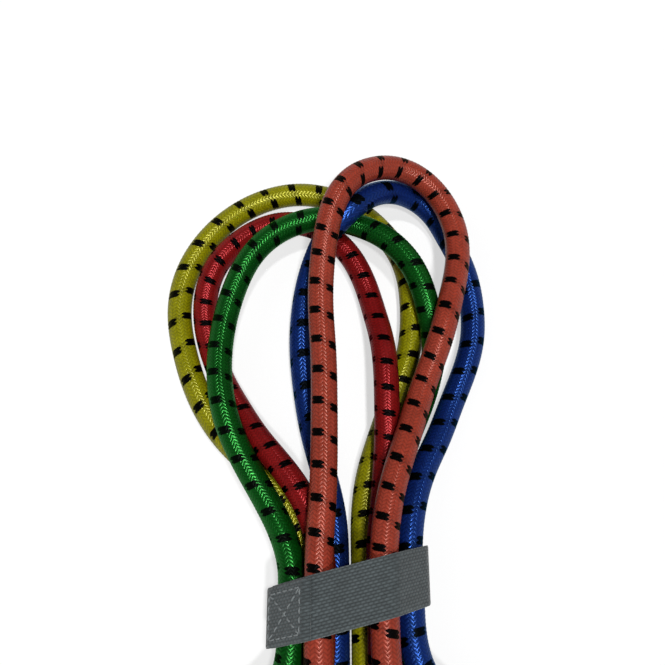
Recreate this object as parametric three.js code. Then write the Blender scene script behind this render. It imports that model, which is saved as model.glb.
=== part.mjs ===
// A set of five braided bungee cords, each folded into a loop. A webbing band gathers the ten legs, and
// behind it the legs fan out to crimped ferrules and wound wire hooks with soft tips.
// Millimetres, +Z up. The origin is the middle of the band's underside, and the loops lie towards +Y.
import * as THREE from "three";

// Driving dimensions of the cords
const CORD_DIAMETER = 10;
const SHEATH_WALL = 1;
const CORD_CLEARANCE = 0.3;
const SHEATH_JOIN_GAP = 0.3;
const OUTER_SIDES = 8;
const INNER_SIDES = 6;

// Driving dimensions of the band
const BAND_WIDTH = 20;
const BAND_WALL = 1.7;
const BAND_SLANT = 0.25;
const BAND_CORNER_STEPS = 3;

// Driving dimensions of the hooks, ferrules and tip caps
const WIRE_DIAMETER = 3.5;
const WIRE_SIDES = 5;
const COIL_TURNS = 4;
const COIL_STEPS_PER_TURN = 8;
const COIL_TURN_GAP = 0.6;
const COIL_END_ANGLE = THREE.MathUtils.degToRad(-40);
const COIL_FLOOR_GAP = 0.12;
const LEAD_OUT_LENGTH = 7;
const LEAD_OUT_PULL = 3.5;
const LEAD_OUT_STEPS = 4;
const HOOK_BEND_RADIUS = 9.5;
const HOOK_BEND_STEPS = 8;
const HOOK_RETURN_LENGTH = 8;
const HOOK_SIDE_GAP = 0.55;
const FERRULE_LENGTH = 9.2;
const FERRULE_WALL = 1;
const FERRULE_COIL_GAP = 5.9;
const FERRULE_SEGMENTS = 12;
const CAP_GRIP_LENGTH = 6;
const CAP_WALL = 0.75;
const CAP_SEGMENTS = 8;
const CAP_CHAMFER = 0.7;
const CAP_FERRULE_GAP = 1;
const WIRE_CLEARANCE = 0.3;

// Places of the fan of legs behind the band: its centre on Y, the turn between legs and where coils start
const FAN_CENTRE_Y = -28;
const FAN_STEP = THREE.MathUtils.degToRad(16.7);
const COIL_START = 71;
const STRAIGHT_LEAD = 1;

// Legs from left to right in the fan
const FAN_ORDER = [
  "green_left", "yellow_left", "red_left", "coral_left", "blue_left",
  "yellow_right", "red_right", "coral_right", "green_right", "blue_right",
];

// Legs at the corners of the gathered bundle, in turn round it
const BAND_CORNERS = ["green_right", "blue_right", "coral_right", "coral_left", "green_left", "yellow_left"];

// Each cord's route: its loop from the left leg to the right leg, and each leg behind the band up to its
// straight end, as [x, y, z] of the cord's middle
const CORDS = [
  {
    name: "coral",
    color: 0xa03c2a,
    loop: [
      [-11, 0, 27], [-11, 14, 27], [-10, 31, 27], [-9.5, 48, 26.5], [-9.5, 68, 26], [-10, 88, 26],
      [-11, 105.5, 26.7], [-10.7, 119, 28.7], [-9.5, 130, 31.8], [-7.5, 139.5, 34.8], [-4, 149, 36],
      [2, 157.5, 34.6], [9.5, 163.5, 31.2], [18.5, 167, 26.8], [28.3, 166, 22.6], [37, 160, 19],
      [42.8, 150, 17.4], [45.3, 138, 17], [44.4, 126, 17.6], [41.5, 114, 20], [38.5, 103.5, 22.3],
      [35, 92.5, 22.2], [31, 82, 20.2], [27, 71.5, 19.8], [23, 60, 21.8], [18.5, 47.5, 25],
      [14.5, 35, 26.4], [12, 22, 27], [11, 10, 27], [11, 0, 27],
    ],
    left: [
      [-11, -14, 27], [-11.2, -30, 26.8], [-12.2, -41, 25.8], [-13.6, -50, 23.4], [-16, -59, 19],
      [-20.4, -70.3, 13], [-25.4, -81, 10],
    ],
    right: [
      [11, -14, 27], [12.8, -32, 26.8], [18.4, -46.5, 24.6], [26.2, -57.4, 18.6], [33.3, -65.3, 13],
      [40, -72.8, 10.2],
    ],
  },
  {
    name: "blue",
    color: 0x1d3f95,
    loop: [
      [-5.2, 0, 7], [-5.2, 12, 7], [-6, 27, 5.4], [-9.5, 43, 5], [-14, 59, 5], [-17.5, 78, 5],
      [-19.2, 95, 5], [-18.8, 110, 5.8], [-16.6, 123, 9.2], [-12.6, 133, 15.4], [-7.6, 140, 21.8],
      [-2.2, 145, 25.1], [4, 151, 25.4], [10, 156.3, 23], [16.5, 160.3, 18.8], [24, 162.2, 13.8],
      [31.5, 160.6, 9.6], [38.5, 154.8, 6.6], [43, 147, 5.2], [47.3, 137.5, 5], [50.5, 127, 5],
      [52, 114, 5], [51.3, 100, 5], [47.3, 86, 5], [41, 71.5, 5], [34.7, 57.5, 7.8], [28, 44.5, 11.2],
      [23.3, 31.5, 14.6], [20.8, 15, 16.4], [20.8, 0, 16.4],
    ],
    left: [[-5.2, -14, 7], [-5.2, -36, 7.6], [-5.6, -58, 8.8]],
    right: [[20.8, -9, 16.4], [23.6, -23, 16.2], [31.5, -33.4, 14.8], [43.1, -39.4, 11]],
  },
  {
    name: "green",
    color: 0x146a2a,
    loop: [
      [-20.8, 0, 16.4], [-20.9, 8, 16.4], [-26, 24, 15.4], [-34, 38, 15], [-41, 50, 16.2], [-46, 61, 17.6],
      [-49.5, 74, 17.2], [-50.8, 90, 15.8], [-49.5, 104, 15.4], [-46, 118, 16], [-40, 131, 17],
      [-31, 141, 17], [-20, 147, 16.8], [-8, 149.3, 15.7], [3.5, 147.3, 14.1], [13.3, 142, 15.4],
      [21, 135, 16], [26.7, 126.5, 16], [30.4, 117, 15.2], [33, 106, 13.2], [34.5, 95, 10.6],
      [33, 84, 6.8], [29, 71.5, 5], [23.4, 58.5, 5.2], [19.2, 45, 5], [16.9, 30, 5.4], [15.6, 14, 7],
      [15.6, 0, 7],
    ],
    left: [
      [-20.8, -16, 16.4], [-23, -26, 16.2], [-29.4, -33.4, 15], [-38.6, -38.2, 11.6],
      [-48.3, -40.8, 9.8],
    ],
    right: [[15.6, -12, 7], [18, -29, 7.5], [25, -41, 8.3], [34.7, -49.3, 9.2]],
  },
  {
    name: "red",
    color: 0x96161c,
    loop: [
      [-10.4, 0, 16.4], [-10.4, 12, 16.3], [-13.5, 25, 15.3], [-19.5, 37, 15], [-27, 47, 13.3], [-36, 58, 10],
      [-43.4, 69, 6.8], [-50.3, 80.5, 5.2], [-55.9, 93.5, 5], [-59.4, 108, 5.6], [-58.8, 121.5, 7.4],
      [-54.3, 133, 8.4], [-47.5, 142, 7.2], [-40, 148.6, 5.6], [-31, 152.5, 5], [-21.5, 152.8, 5],
      [-12.5, 149.8, 5], [-4.8, 144.2, 5], [1.2, 137, 5], [5.4, 129, 5], [8.4, 120.5, 5.2], [10.8, 110.5, 7],
      [12.8, 100, 10.7], [14, 89, 14.6], [14.4, 79, 16.1], [14.4, 68, 16.1], [14.3, 57, 15], [13.5, 45, 15],
      [12.2, 32, 15.4], [10.6, 17, 16.3], [10.4, 0, 16.4],
    ],
    left: [[-10.4, -16, 16.4], [-12.2, -32, 16], [-17, -46.2, 13.8], [-25.6, -57.8, 11]],
    right: [
      [10.4, -14, 16.4], [10.5, -30, 16.3], [12.9, -50, 15.6], [15.4, -58.5, 13.4],
      [19.8, -70.3, 10.6],
    ],
  },
  {
    name: "yellow",
    color: 0x9c930c,
    loop: [
      [-15.6, 0, 7], [-15.6, 9, 7], [-20, 25, 5.2], [-28, 37.5, 5], [-37.5, 47, 5], [-47, 56, 5],
      [-55.7, 67.2, 5], [-62.6, 80.7, 5], [-67.5, 95, 5], [-70.5, 111, 5], [-69, 127, 5], [-62.5, 142, 5],
      [-52, 154.5, 5], [-38, 163.5, 5], [-23, 167.3, 5], [-8.5, 165.5, 5], [4.5, 159, 5], [14.5, 149.5, 5],
      [21.8, 138.5, 5], [25.6, 127, 5], [26.7, 114, 5], [25.8, 99, 5], [22, 84, 5], [16.6, 70, 5],
      [11.5, 56, 5], [7.5, 43, 5], [5.5, 29, 5.2], [5.2, 12, 7], [5.2, 0, 7],
    ],
    left: [[-15.6, -14, 7], [-18, -29, 7.5], [-25, -41, 8.3], [-34.7, -49.3, 9.2]],
    right: [[5.2, -14, 7], [5.2, -36, 7.6], [5.6, -58, 8.8]],
  },
];

// Sizes worked out from the driving dimensions
const cordRadius = CORD_DIAMETER / 2;
const sheathBore = cordRadius - SHEATH_WALL;
const coreRadius = sheathBore * Math.cos(Math.PI / INNER_SIDES) - CORD_CLEARANCE;
const wireRadius = WIRE_DIAMETER / 2;
const coilRadius = (cordRadius + CORD_CLEARANCE + wireRadius) / Math.cos(Math.PI / COIL_STEPS_PER_TURN);
const coilPitch = WIRE_DIAMETER + COIL_TURN_GAP;
const coilEnd = COIL_START + COIL_TURNS * coilPitch;
const axisHeight = coilRadius + wireRadius + COIL_FLOOR_GAP;
const ferruleBore = (cordRadius + CORD_CLEARANCE) / Math.cos(Math.PI / FERRULE_SEGMENTS);
const ferruleRadius = ferruleBore + FERRULE_WALL;
const ferruleStart = coilEnd + FERRULE_COIL_GAP;
const ferruleEnd = ferruleStart + FERRULE_LENGTH;
const cordEnd = ferruleEnd - FERRULE_WALL - CORD_CLEARANCE;
const shankOffset = ferruleRadius + HOOK_SIDE_GAP + wireRadius;
const wireTip = ferruleEnd + CAP_FERRULE_GAP + CAP_WALL + WIRE_CLEARANCE;
const bendCentre = wireTip + HOOK_RETURN_LENGTH;
const returnOffset = shankOffset - 2 * HOOK_BEND_RADIUS;
const capBore = (wireRadius + WIRE_CLEARANCE) / Math.cos(Math.PI / CAP_SEGMENTS);

const steel = { color: 0x8a8d90, roughness: 0.35, metalness: 0.9 };
const zinc = { color: 0xa7a9a8, roughness: 0.4, metalness: 0.85 };
const tipPlastic = { color: 0x1c1c1d, roughness: 0.6, metalness: 0 };
const webbing = { color: 0x464e50, roughness: 0.9, metalness: 0 };
const rubber = { color: 0xc9b98f, roughness: 0.8, metalness: 0 };

function vector([x, y, z]) {
  return new THREE.Vector3(x, y, z);
}

// A regular outline with its flats square to the axes
function regularOutline(Kind, sides, radius) {
  const points = [];
  for (let side = 0; side < sides; side += 1) {
    const angle = ((side + 0.5) * 2 * Math.PI) / sides;
    points.push(new THREE.Vector2(radius * Math.cos(angle), radius * Math.sin(angle)));
  }
  return new Kind(points);
}

// A path of straight stretches whose sections stand at the given stations, halfway between the stretches
class StationPath extends THREE.Curve {
  constructor(stations) {
    super();
    this.stations = stations;
  }

  getPoint(t, target = new THREE.Vector3()) {
    const last = this.stations.length - 1;
    const index = Math.min(Math.floor(t * last), last - 1);
    return target.lerpVectors(this.stations[index], this.stations[index + 1], t * last - index);
  }

  getPointAt(u, target) {
    return this.getPoint(u, target);
  }

  getTangent(t, target = new THREE.Vector3()) {
    const last = this.stations.length - 1;
    const index = Math.round(t * last);
    target.set(0, 0, 0);
    for (const start of [index - 1, index]) {
      if (start < 0 || start >= last) continue;
      target.add(this.stations[start + 1].clone().sub(this.stations[start]).normalize());
    }
    return target.normalize();
  }

  getTangentAt(u, target) {
    return this.getTangent(u, target);
  }
}

function sweep(shape, stations) {
  return new THREE.ExtrudeGeometry(shape, {
    steps: stations.length - 1,
    extrudePath: new StationPath(stations),
  });
}

function fanTurn(leg) {
  return (FAN_ORDER.indexOf(leg) - (FAN_ORDER.length - 1) / 2) * FAN_STEP;
}

// A point on a leg's straight end, at a distance from the fan's centre
function fanPoint(leg, distance) {
  const turn = fanTurn(leg);
  return new THREE.Vector3(
    distance * Math.sin(turn), FAN_CENTRE_Y - distance * Math.cos(turn), axisHeight);
}

// The leg behind the band, from the band's middle to the cord's end
function tailStations(cord, side) {
  const leg = `${cord.name}_${side}`;
  const band = vector(side === "left" ? cord.loop[0] : cord.loop[cord.loop.length - 1]);
  const straight = [fanPoint(leg, COIL_START - STRAIGHT_LEAD), fanPoint(leg, cordEnd)];
  return [band, ...cord[side].map(vector), ...straight];
}

function sheathShape() {
  const shape = regularOutline(THREE.Shape, OUTER_SIDES, cordRadius);
  shape.holes.push(regularOutline(THREE.Path, INNER_SIDES, sheathBore));
  return shape;
}

function sheathLoop(cord) {
  const stations = cord.loop.map(vector);
  stations[0].y += SHEATH_JOIN_GAP / 2;
  stations[stations.length - 1].y += SHEATH_JOIN_GAP / 2;
  return sweep(sheathShape(), stations);
}

function sheathTail(cord, side) {
  const stations = tailStations(cord, side);
  stations[0].y -= SHEATH_JOIN_GAP / 2;
  return sweep(sheathShape(), stations);
}

// The rubber core runs through both tails and the loop in one piece
function rubberCore(cord) {
  const left = tailStations(cord, "left").slice(1).reverse();
  const right = tailStations(cord, "right").slice(1);
  const stations = [...left, ...cord.loop.map(vector), ...right];
  return sweep(regularOutline(THREE.Shape, INNER_SIDES, coreRadius), stations);
}

// The bundle's corners, each rounded to the given distance from its leg's middle
function bundleOutline(Kind, distance) {
  const places = BAND_CORNERS.map((leg) => {
    const [name, side] = leg.split("_");
    const loop = CORDS.find((cord) => cord.name === name).loop;
    const [x, , z] = side === "left" ? loop[0] : loop[loop.length - 1];
    return new THREE.Vector2(x, z);
  });
  const points = [];
  places.forEach((place, index) => {
    const before = places[(index + places.length - 1) % places.length];
    const after = places[(index + 1) % places.length];
    const first = place.clone().sub(before).angle() - Math.PI / 2;
    const turn = after.clone().sub(place).angle() - Math.PI / 2 - first;
    const sweepAngle = THREE.MathUtils.euclideanModulo(turn, 2 * Math.PI);
    for (let step = 0; step <= BAND_CORNER_STEPS; step += 1) {
      const angle = first + (sweepAngle * step) / BAND_CORNER_STEPS;
      points.push(new THREE.Vector2(distance, 0).rotateAround(new THREE.Vector2(), angle).add(place));
    }
  });
  return new Kind(points);
}

// The band: a ring round the bundle, slanted so that its edges rise towards +Y on the right
function bindingBand() {
  const inside = cordRadius + CORD_CLEARANCE;
  const shape = bundleOutline(THREE.Shape, inside + BAND_WALL);
  shape.holes.push(bundleOutline(THREE.Path, inside));
  const geometry = new THREE.ExtrudeGeometry(shape, { depth: BAND_WIDTH, bevelEnabled: false });
  const slant = new THREE.Matrix4().makeBasis(
    new THREE.Vector3(1, BAND_SLANT, 0), new THREE.Vector3(0, 0, 1), new THREE.Vector3(0, -1, 0));
  slant.setPosition(0, BAND_WIDTH / 2, 0);
  return geometry.applyMatrix4(slant);
}

// A round wire through the points, as one tube with closed ends
function wireTube(points, radius, sides) {
  const path = new StationPath(points);
  const last = points.length - 1;
  const positions = [];
  const faces = [];
  let normal = new THREE.Vector3(0, 1, 0);
  points.forEach((point, index) => {
    const tangent = path.getTangent(index / last);
    normal = normal.clone().addScaledVector(tangent, -normal.dot(tangent)).normalize();
    const binormal = new THREE.Vector3().crossVectors(tangent, normal);
    for (let side = 0; side < sides; side += 1) {
      const angle = (side * 2 * Math.PI) / sides;
      const corner = point.clone().addScaledVector(normal, radius * Math.cos(angle));
      positions.push(...corner.addScaledVector(binormal, radius * Math.sin(angle)).toArray());
    }
  });
  for (let ring = 0; ring < last; ring += 1) {
    for (let side = 0; side < sides; side += 1) {
      const next = (side + 1) % sides;
      const here = ring * sides;
      const there = here + sides;
      faces.push(here + side, here + next, there + next, here + side, there + next, there + side);
    }
  }
  for (let side = 1; side < sides - 1; side += 1) {
    const end = last * sides;
    faces.push(0, side + 1, side, end, end + side, end + side + 1);
  }
  const geometry = new THREE.BufferGeometry();
  geometry.setAttribute("position", new THREE.Float32BufferAttribute(positions, 3));
  geometry.setIndex(faces);
  geometry.computeVertexNormals();
  return geometry;
}

// A place on the hook's coil: +Y along the cord, turned about it from +X
function coilPoint(angle) {
  const along = coilEnd + ((angle - COIL_END_ANGLE) / (2 * Math.PI)) * coilPitch;
  return new THREE.Vector3(coilRadius * Math.cos(angle), along, coilRadius * Math.sin(angle));
}

// The hook's wire: a straight start, the coil, a bend out to the shank, the hook's bend and its return
function hookPoints() {
  const stepAngle = (2 * Math.PI) / COIL_STEPS_PER_TURN;
  const coilSteps = COIL_TURNS * COIL_STEPS_PER_TURN;
  const coil = [];
  for (let step = 0; step <= coilSteps; step += 1) {
    coil.push(coilPoint(COIL_END_ANGLE + (step - coilSteps) * stepAngle));
  }
  const startWay = coil[0].clone().sub(coil[1]).normalize();
  const endWay = coil[coilSteps].clone().sub(coil[coilSteps - 1]).normalize();
  const start = coil[0].clone().addScaledVector(startWay, WIRE_DIAMETER);
  const shank = new THREE.Vector3(shankOffset, coilEnd + LEAD_OUT_LENGTH, 0);
  const leadOut = new THREE.CubicBezierCurve3(
    coil[coilSteps], coil[coilSteps].clone().addScaledVector(endWay, LEAD_OUT_PULL),
    shank.clone().sub(new THREE.Vector3(0, LEAD_OUT_PULL, 0)), shank);
  const bend = [];
  for (let step = 0; step <= HOOK_BEND_STEPS; step += 1) {
    const angle = (Math.PI * step) / HOOK_BEND_STEPS;
    bend.push(new THREE.Vector3(
      shankOffset - HOOK_BEND_RADIUS + HOOK_BEND_RADIUS * Math.cos(angle),
      bendCentre + HOOK_BEND_RADIUS * Math.sin(angle), 0));
  }
  const tip = new THREE.Vector3(returnOffset, wireTip, 0);
  return [start, ...coil, ...leadOut.getPoints(LEAD_OUT_STEPS).slice(1), ...bend, tip];
}

// The least gap between stretches of a wire that lie more than two diameters apart along it
function leastGap(points, diameter) {
  const samplesPerStretch = 4;
  const reach = 2 * diameter;
  const samples = [];
  let run = 0;
  for (let index = 0; index < points.length - 1; index += 1) {
    const length = points[index].distanceTo(points[index + 1]);
    for (let sample = 0; sample < samplesPerStretch; sample += 1) {
      const share = sample / samplesPerStretch;
      const place = points[index].clone().lerp(points[index + 1], share);
      samples.push({ place, run: run + length * share });
    }
    run += length;
  }
  let least = Infinity;
  for (const one of samples) {
    for (const other of samples) {
      if (other.run - one.run < reach) continue;
      least = Math.min(least, one.place.distanceTo(other.place));
    }
  }
  return least - diameter;
}

// The crimped cup over a cord's end, open towards the band
function ferrule() {
  const profile = [
    [0, ferruleEnd - FERRULE_WALL], [ferruleBore, ferruleEnd - FERRULE_WALL], [ferruleBore, ferruleStart],
    [ferruleRadius, ferruleStart], [ferruleRadius, ferruleEnd], [0, ferruleEnd],
  ];
  return new THREE.LatheGeometry(profile.map(([r, y]) => new THREE.Vector2(r, y)), FERRULE_SEGMENTS);
}

// The soft cap on a hook's tip, a blind sleeve with its closed end chamfered
function tipCap() {
  const seat = wireTip - WIRE_CLEARANCE;
  const closed = seat - CAP_WALL;
  const open = seat + CAP_GRIP_LENGTH;
  const outside = capBore + CAP_WALL;
  const profile = [
    [0, closed], [outside - CAP_CHAMFER, closed], [outside, closed + CAP_CHAMFER], [outside, open],
    [capBore, open], [capBore, seat], [0, seat],
  ];
  return new THREE.LatheGeometry(profile.map(([r, y]) => new THREE.Vector2(r, y)), CAP_SEGMENTS);
}

function addMesh(group, name, geometry, look) {
  const mesh = new THREE.Mesh(geometry, new THREE.MeshStandardMaterial(look));
  mesh.name = name;
  group.add(mesh);
  return mesh;
}

// A leg's end fittings, in a group whose +Y runs outwards along the cord from the fan's centre
function endFittings(cord, side, wire) {
  const leg = `${cord.name}_${side}`;
  const group = new THREE.Group();
  group.position.set(0, FAN_CENTRE_Y, axisHeight);
  group.rotation.z = fanTurn(leg) + Math.PI;
  addMesh(group, `${leg}_ferrule`, ferrule(), zinc);
  addMesh(group, `${leg}_hook`, wireTube(wire, wireRadius, WIRE_SIDES), steel);
  const cap = addMesh(group, `${leg}_tip_cap`, tipCap(), tipPlastic);
  cap.position.x = returnOffset;
  return group;
}

const bundle = new THREE.Group();
const hookWire = hookPoints();
console.log(`least gap of the hook wire to itself: ${leastGap(hookWire, WIRE_DIAMETER).toFixed(2)} mm`);
addMesh(bundle, "binding_band", bindingBand(), webbing);
for (const cord of CORDS) {
  const braid = { color: cord.color, roughness: 0.75, metalness: 0 };
  addMesh(bundle, `${cord.name}_sheath_loop`, sheathLoop(cord), braid);
  addMesh(bundle, `${cord.name}_rubber_core`, rubberCore(cord), rubber);
  for (const side of ["left", "right"]) {
    addMesh(bundle, `${cord.name}_sheath_${side}_tail`, sheathTail(cord, side), braid);
    bundle.add(endFittings(cord, side, hookWire));
  }
}

export default bundle;
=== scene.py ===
# %% [markdown]
# # A set of five bungee cords
#
# Five elastic cords with a braided sheath are folded into loops, laid over each other and gathered by a
# webbing band. Behind the band their ten legs fan out, and each leg ends in a crimped ferrule and a wire
# hook. Each shape below is worked out with numpy as a grid of points and then handed to Blender as a
# finished mesh. The imported model is loaded first, because the new pieces stand in for its parts, and all
# but the legs are fastened to its bodies and take their motion from them.

# %% Load the imported model
import math
from functools import partialmethod

import bpy
import numpy as np
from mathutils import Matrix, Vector


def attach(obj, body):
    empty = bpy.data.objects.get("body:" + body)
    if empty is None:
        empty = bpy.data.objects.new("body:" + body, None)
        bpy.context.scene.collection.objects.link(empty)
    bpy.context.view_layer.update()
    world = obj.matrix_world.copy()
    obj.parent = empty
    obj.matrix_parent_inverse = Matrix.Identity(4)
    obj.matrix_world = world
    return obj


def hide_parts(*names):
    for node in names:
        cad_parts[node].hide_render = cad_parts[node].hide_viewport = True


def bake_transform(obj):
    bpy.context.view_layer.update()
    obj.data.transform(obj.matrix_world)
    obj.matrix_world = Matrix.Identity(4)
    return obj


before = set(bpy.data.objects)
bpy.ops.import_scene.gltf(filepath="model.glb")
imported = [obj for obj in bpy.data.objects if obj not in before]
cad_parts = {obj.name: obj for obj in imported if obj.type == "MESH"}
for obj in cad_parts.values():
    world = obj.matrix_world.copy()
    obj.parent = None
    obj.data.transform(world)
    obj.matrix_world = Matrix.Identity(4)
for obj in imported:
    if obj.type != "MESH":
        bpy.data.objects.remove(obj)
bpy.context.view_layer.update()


# %% [markdown]
# ## The camera
#
# The photograph looks steeply down on the loops from close by, so near cords look wider than far ones. A
# camera could be tried by eye, but here it was solved: with cords 10 mm wide, one focal length, one height
# and one slant give every cord its photographed width. The aim is the point of the floor in the picture's
# middle.

# %% Camera
PICTURE_SIDE = 665
FOCAL_LENGTH_PIXELS = 700
SENSOR_WIDTH_MM = 36.0
CAMERA_ELEVATION = math.radians(70)
CAMERA_DISTANCE = 0.2955
CAMERA_NEAREST = 0.005
CAMERA_AIM = Vector((-0.00646, 0.10382, 0))

looking = Vector((0, math.cos(CAMERA_ELEVATION), -math.sin(CAMERA_ELEVATION)))
camera_data = bpy.data.cameras.new("photo_camera")
camera_data.sensor_width = SENSOR_WIDTH_MM
camera_data.lens = SENSOR_WIDTH_MM * FOCAL_LENGTH_PIXELS / PICTURE_SIDE
camera_data.clip_start = CAMERA_NEAREST
camera = bpy.data.objects.new("photo_camera", camera_data)
camera.location = CAMERA_AIM - looking * CAMERA_DISTANCE
camera.rotation_euler = looking.to_track_quat("-Z", "Y").to_euler()
bpy.context.collection.objects.link(camera)
bpy.context.scene.camera = camera
print("camera at", np.round(camera.location, 4), "lens %.1f mm" % camera_data.lens)

# %% [markdown]
# ## Where the cords run
#
# Each cord is one length of elastic: a loop in front of the band and two legs behind it. The routes are
# lists of points on the cord's middle line, the same as in the solid model. They cross over each other in
# long low humps, because a cord is too stiff to step over its neighbour.

# %% Routes of the five cords, in millimetres
CORD_ROUTES = {
    "coral": {
        "loop": [
            (-11, 0, 27), (-11, 14, 27), (-10, 31, 27), (-9.5, 48, 26.5), (-9.5, 68, 26), (-10, 88, 26),
            (-11, 105.5, 26.7), (-10.7, 119, 28.7), (-9.5, 130, 31.8), (-7.5, 139.5, 34.8), (-4, 149, 36),
            (2, 157.5, 34.6), (9.5, 163.5, 31.2), (18.5, 167, 26.8), (28.3, 166, 22.6), (37, 160, 19),
            (42.8, 150, 17.4), (45.3, 138, 17), (44.4, 126, 17.6), (41.5, 114, 20), (38.5, 103.5, 22.3),
            (35, 92.5, 22.2), (31, 82, 20.2), (27, 71.5, 19.8), (23, 60, 21.8), (18.5, 47.5, 25),
            (14.5, 35, 26.4), (12, 22, 27), (11, 10, 27), (11, 0, 27),
        ],
        "left": [
            (-11, -14, 27), (-11.2, -30, 26.8), (-12.2, -41, 25.8), (-13.6, -50, 23.4), (-16, -59, 19),
            (-20.4, -70.3, 13), (-25.4, -81, 10),
        ],
        "right": [
            (11, -14, 27), (12.8, -32, 26.8), (18.4, -46.5, 24.6), (26.2, -57.4, 18.6), (33.3, -65.3, 13),
            (40, -72.8, 10.2),
        ],
    },
    "blue": {
        "loop": [
            (-5.2, 0, 7), (-5.2, 12, 7), (-6, 27, 5.4), (-9.5, 43, 5), (-14, 59, 5), (-17.5, 78, 5),
            (-19.2, 95, 5), (-18.8, 110, 5.8), (-16.6, 123, 9.2), (-12.6, 133, 15.4), (-7.6, 140, 21.8),
            (-2.2, 145, 25.1), (4, 151, 25.4), (10, 156.3, 23), (16.5, 160.3, 18.8), (24, 162.2, 13.8),
            (31.5, 160.6, 9.6), (38.5, 154.8, 6.6), (43, 147, 5.2), (47.3, 137.5, 5), (50.5, 127, 5),
            (52, 114, 5), (51.3, 100, 5), (47.3, 86, 5), (41, 71.5, 5), (34.7, 57.5, 7.8),
            (28, 44.5, 11.2), (23.3, 31.5, 14.6), (20.8, 15, 16.4), (20.8, 0, 16.4),
        ],
        "left": [
            (-5.2, -14, 7), (-5.2, -36, 7.6), (-5.6, -58, 8.8),
        ],
        "right": [
            (20.8, -9, 16.4), (23.6, -23, 16.2), (31.5, -33.4, 14.8), (43.1, -39.4, 11),
        ],
    },
    "green": {
        "loop": [
            (-20.8, 0, 16.4), (-20.9, 8, 16.4), (-26, 24, 15.4), (-34, 38, 15), (-41, 50, 16.2),
            (-46, 61, 17.6), (-49.5, 74, 17.2), (-50.8, 90, 15.8), (-49.5, 104, 15.4), (-46, 118, 16),
            (-40, 131, 17), (-31, 141, 17), (-20, 147, 16.8), (-8, 149.3, 15.7), (3.5, 147.3, 14.1),
            (13.3, 142, 15.4), (21, 135, 16), (26.7, 126.5, 16), (30.4, 117, 15.2), (33, 106, 13.2),
            (34.5, 95, 10.6), (33, 84, 6.8), (29, 71.5, 5), (23.4, 58.5, 5.2), (19.2, 45, 5),
            (16.9, 30, 5.4), (15.6, 14, 7), (15.6, 0, 7),
        ],
        "left": [
            (-20.8, -16, 16.4), (-23, -26, 16.2), (-29.4, -33.4, 15), (-38.6, -38.2, 11.6),
            (-48.3, -40.8, 9.8),
        ],
        "right": [
            (15.6, -12, 7), (18, -29, 7.5), (25, -41, 8.3), (34.7, -49.3, 9.2),
        ],
    },
    "red": {
        "loop": [
            (-10.4, 0, 16.4), (-10.4, 12, 16.3), (-13.5, 25, 15.3), (-19.5, 37, 15), (-27, 47, 13.3),
            (-36, 58, 10), (-43.4, 69, 6.8), (-50.3, 80.5, 5.2), (-55.9, 93.5, 5), (-59.4, 108, 5.6),
            (-58.8, 121.5, 7.4), (-54.3, 133, 8.4), (-47.5, 142, 7.2), (-40, 148.6, 5.6), (-31, 152.5, 5),
            (-21.5, 152.8, 5), (-12.5, 149.8, 5), (-4.8, 144.2, 5), (1.2, 137, 5), (5.4, 129, 5),
            (8.4, 120.5, 5.2), (10.8, 110.5, 7), (12.8, 100, 10.7), (14, 89, 14.6), (14.4, 79, 16.1),
            (14.4, 68, 16.1), (14.3, 57, 15), (13.5, 45, 15), (12.2, 32, 15.4), (10.6, 17, 16.3),
            (10.4, 0, 16.4),
        ],
        "left": [
            (-10.4, -16, 16.4), (-12.2, -32, 16), (-17, -46.2, 13.8), (-25.6, -57.8, 11),
        ],
        "right": [
            (10.4, -14, 16.4), (10.5, -30, 16.3), (12.9, -50, 15.6), (15.4, -58.5, 13.4),
            (19.8, -70.3, 10.6),
        ],
    },
    "yellow": {
        "loop": [
            (-15.6, 0, 7), (-15.6, 9, 7), (-20, 25, 5.2), (-28, 37.5, 5), (-37.5, 47, 5), (-47, 56, 5),
            (-55.7, 67.2, 5), (-62.6, 80.7, 5), (-67.5, 95, 5), (-70.5, 111, 5), (-69, 127, 5),
            (-62.5, 142, 5), (-52, 154.5, 5), (-38, 163.5, 5), (-23, 167.3, 5), (-8.5, 165.5, 5),
            (4.5, 159, 5), (14.5, 149.5, 5), (21.8, 138.5, 5), (25.6, 127, 5), (26.7, 114, 5),
            (25.8, 99, 5), (22, 84, 5), (16.6, 70, 5), (11.5, 56, 5), (7.5, 43, 5), (5.5, 29, 5.2),
            (5.2, 12, 7), (5.2, 0, 7),
        ],
        "left": [
            (-15.6, -14, 7), (-18, -29, 7.5), (-25, -41, 8.3), (-34.7, -49.3, 9.2),
        ],
        "right": [
            (5.2, -14, 7), (5.2, -36, 7.6), (5.6, -58, 8.8),
        ],
    },
}
CORD_DIAMETER = 0.01
FAN_ORDER = [
    "green_left", "yellow_left", "red_left", "coral_left", "blue_left",
    "yellow_right", "red_right", "coral_right", "green_right", "blue_right",
]
FAN_CENTRE = np.array([0, -0.028, 0.0095])
FAN_STEP = math.radians(16.7)
LEG_STRAIGHT_FROM = 0.07
LEG_STRAIGHT = [(0, LEG_STRAIGHT_FROM, 0), (0, 0.086, 0), (0, 0.1012, 0)]


def fan_axes(leg):
    """The leg's own directions: across it, outwards along it and up. Legs stand one fan step apart."""
    turn = (FAN_ORDER.index(leg) - (len(FAN_ORDER) - 1) / 2) * FAN_STEP
    across = [-math.cos(turn), -math.sin(turn), 0]
    outward = [math.sin(turn), -math.cos(turn), 0]
    return np.array([across, outward, [0, 0, 1]])


def fan_points(leg, places):
    """Places given as (across, outward, up) from the fan's centre, turned into the model's frame."""
    return FAN_CENTRE + np.asarray(places, float) @ fan_axes(leg)


print(len(CORD_ROUTES), "cords,", len(FAN_ORDER), "legs")

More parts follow.
